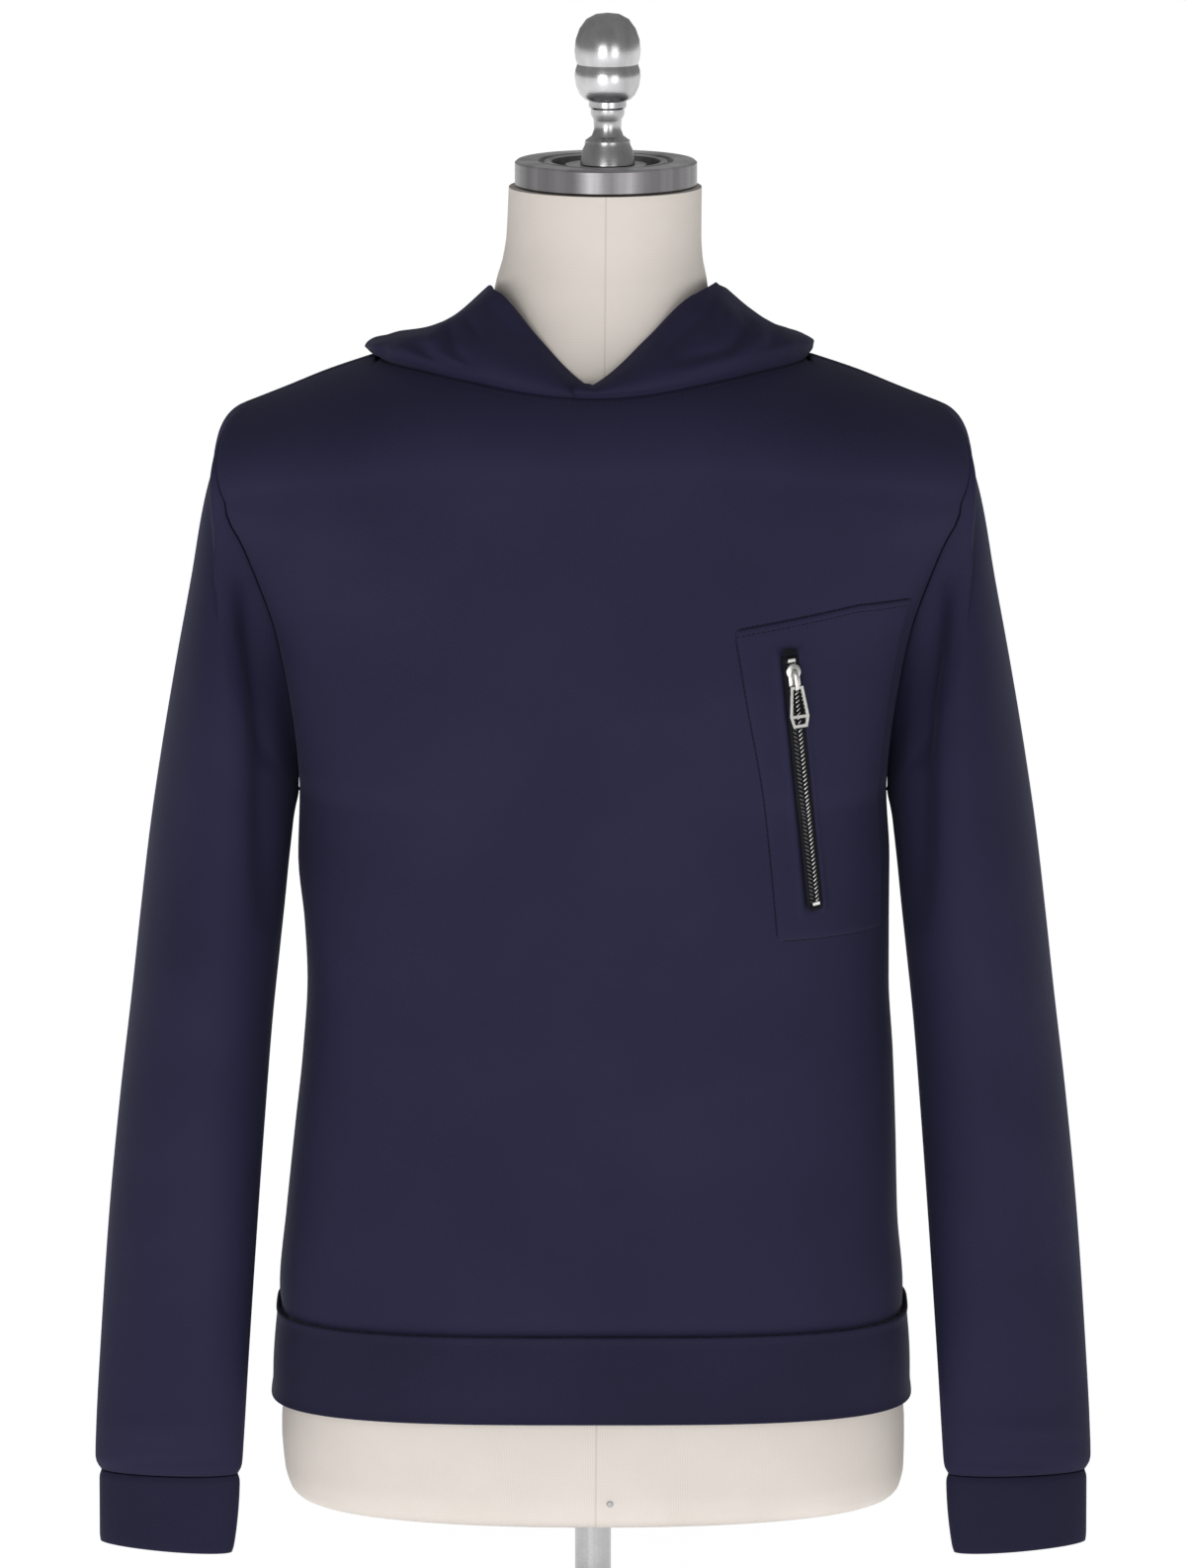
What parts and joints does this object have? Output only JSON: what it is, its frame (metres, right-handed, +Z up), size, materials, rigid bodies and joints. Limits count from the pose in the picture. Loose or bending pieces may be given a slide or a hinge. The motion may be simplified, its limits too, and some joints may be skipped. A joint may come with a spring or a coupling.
{
  "type": "hooded pullover sweatshirt on a limbless dress form",
  "caption": "Hooded long-sleeved pullover with a zipped chest pocket, worn by a limbless dress form with a metal neck cap and finial, standing on a slim post and round base.",
  "frame": {"origin": "centre of the stand base's underside, on the floor", "axes": "+Z up, the front of the garment faces -Y, and the pocket side is +X"},
  "size_m": [0.604, 0.3001, 1.032],
  "materials": {
    "navy_jersey": "matte, smooth double-faced jersey",
    "cream_linen": "matte plain-woven cover",
    "satin_aluminium": "satin",
    "stand_steel": "satin",
    "zip_black": "matte",
    "zip_silver": "polished"
  },
  "bodies": {
    "worn_form": {"front_panel": "navy_jersey", "back_panel": "navy_jersey", "hem_band": "navy_jersey", "sleeve_left": "navy_jersey", "sleeve_right": "navy_jersey", "cuff_left": "navy_jersey", "cuff_right": "navy_jersey", "hood_right": "navy_jersey", "hood_left": "navy_jersey", "pocket_patch": "navy_jersey", "zip_tape": "zip_black", "zip_stop_top": "zip_silver", "zip_stop_bottom": "zip_silver", "zip_slider": "zip_silver", "form_body": "cream_linen", "form_pin": "satin_aluminium", "neck_cap": "satin_aluminium", "finial": "satin_aluminium", "stand_post": "stand_steel", "stand_base": "stand_steel"},
    "pull_tab": {"zip_tab": "zip_silver"}
  },
  "joints": [
    {"name": "pull_tab_hinge", "type": "hinge", "parent": "worn_form", "child": "pull_tab", "pos_m": [0.12179, -0.1168, 0.63937], "axis": [-0.9147, -0.397, -0.0754], "range_deg": [0, 150]}
  ]
}
